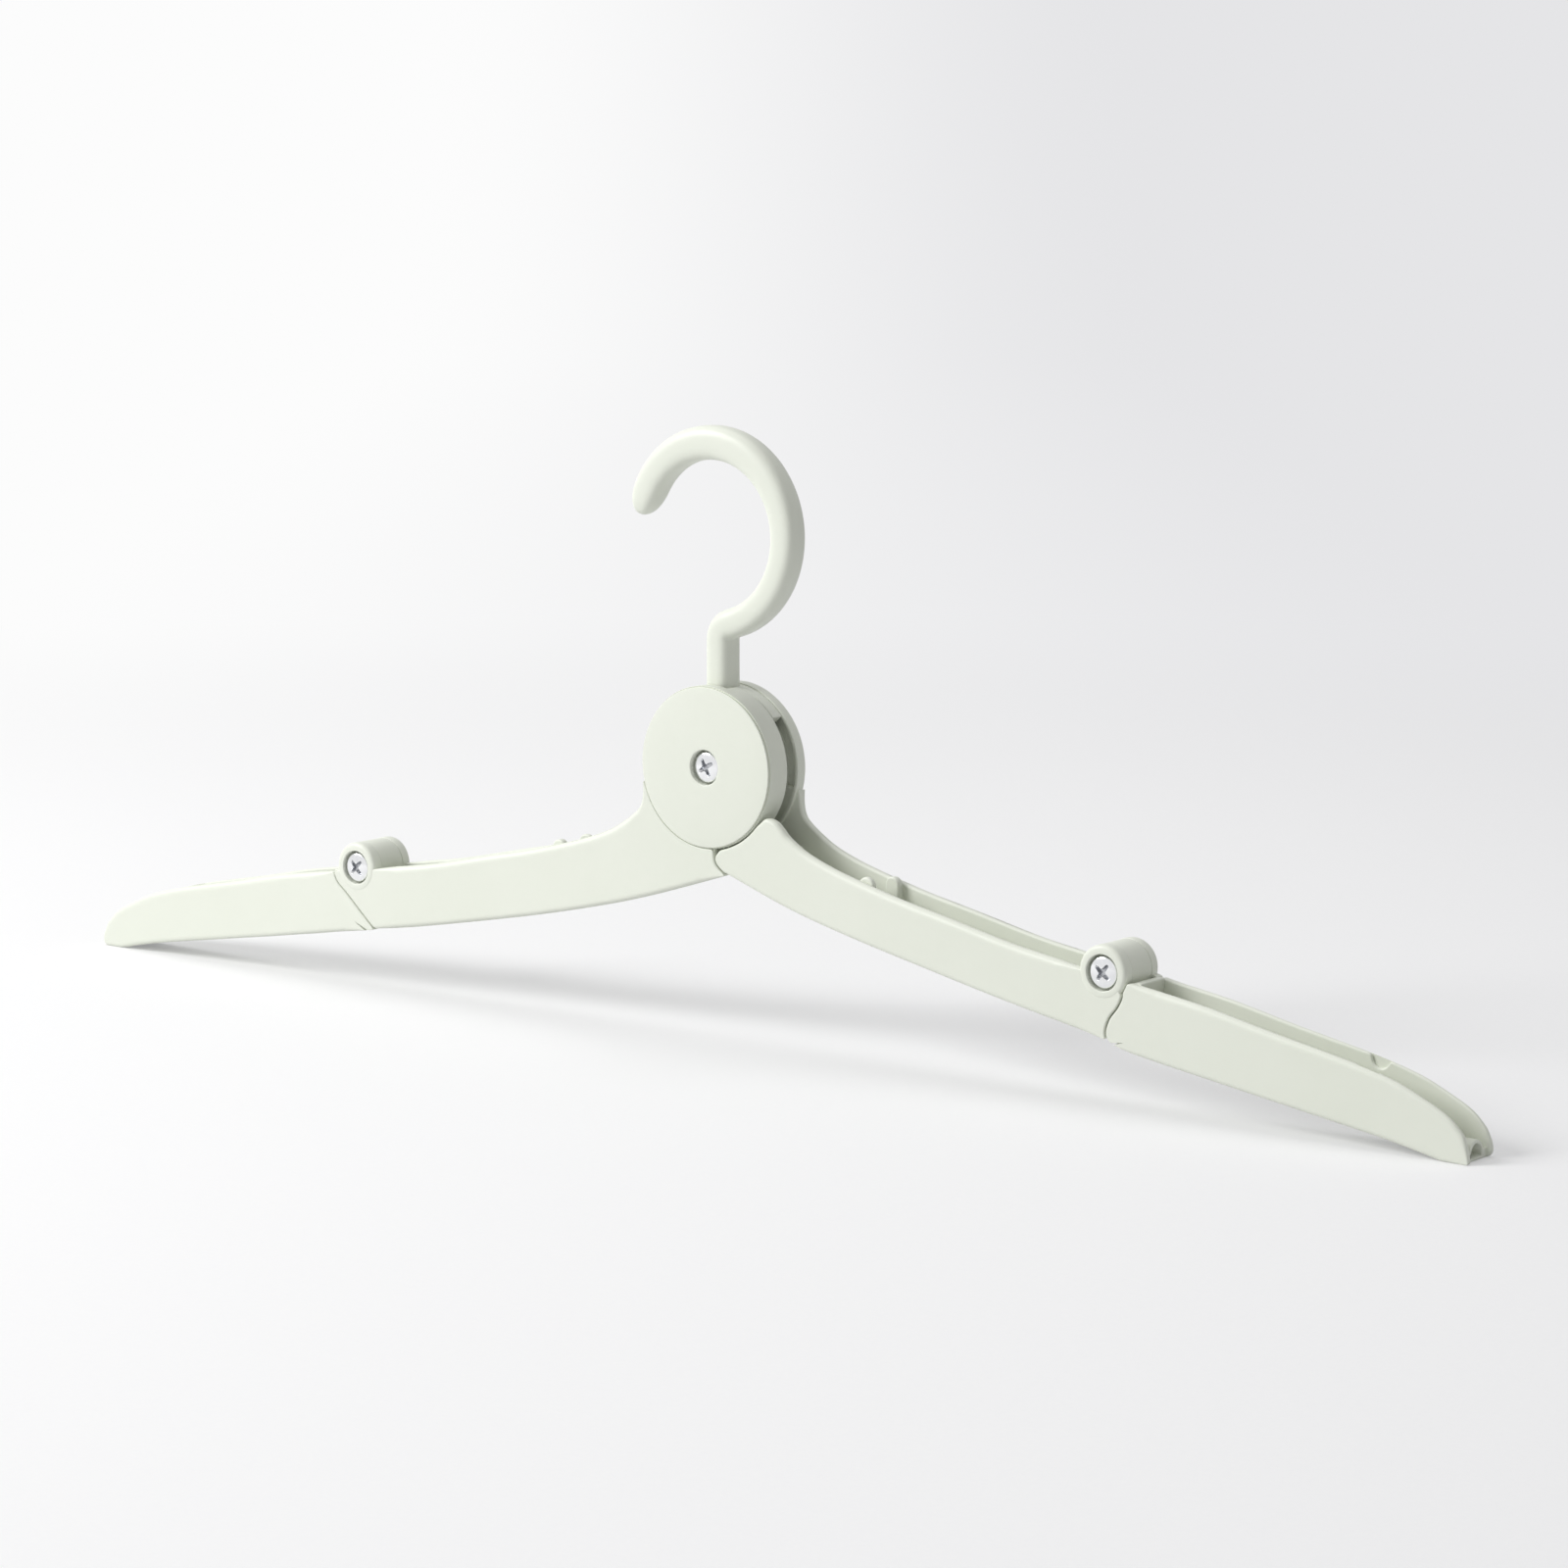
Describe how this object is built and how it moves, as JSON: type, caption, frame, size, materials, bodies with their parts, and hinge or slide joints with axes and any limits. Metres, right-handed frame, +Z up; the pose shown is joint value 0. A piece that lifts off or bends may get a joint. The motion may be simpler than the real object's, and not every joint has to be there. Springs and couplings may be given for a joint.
{
  "type": "folding travel hanger",
  "caption": "Folding clothes hanger: open hook on a round hub, channel-section inner and outer arms that fold over each other on screwed pivots and swing up beside the hook",
  "frame": {"origin": "the top of the hook's inside, where the rail bears", "axes": "+X along the arms to the viewer's right, +Y to the rear, +Z up"},
  "size_m": [0.4128, 0.0148, 0.147],
  "materials": {
    "pale_plastic": "satin",
    "bright_metal": "polished",
    "washer_plastic": "satin"
  },
  "bodies": {
    "hook": {"hook": "pale_plastic", "hub_screw": "bright_metal", "hub_barrel_nut": "bright_metal", "rear_friction_washer": "washer_plastic", "front_friction_washer": "washer_plastic"},
    "right_inner": {"right_inner_arm": "pale_plastic", "right_elbow_screw": "bright_metal", "right_elbow_barrel_nut": "bright_metal"},
    "left_inner": {"left_inner_arm": "pale_plastic", "left_elbow_screw": "bright_metal", "left_elbow_barrel_nut": "bright_metal"},
    "right_outer": {"right_outer_arm": "pale_plastic"},
    "left_outer": {"left_outer_arm": "pale_plastic"}
  },
  "joints": [
    {"name": "right_hub_fold", "type": "hinge", "parent": "hook", "child": "right_inner", "pos_m": [0, 0, -0.07259], "axis": [0, -1, 0], "range_deg": [0, 74]},
    {"name": "left_hub_fold", "type": "hinge", "parent": "hook", "child": "left_inner", "pos_m": [0, 0, -0.07259], "axis": [0, 1, 0], "range_deg": [0, 74]},
    {"name": "right_elbow_fold", "type": "hinge", "parent": "right_inner", "child": "right_outer", "pos_m": [0.1133, 0, -0.10844], "axis": [0, -1, 0], "range_deg": [0, 180]},
    {"name": "left_elbow_fold", "type": "hinge", "parent": "left_inner", "child": "left_outer", "pos_m": [-0.1133, 0, -0.10844], "axis": [0, 1, 0], "range_deg": [0, 180]}
  ]
}
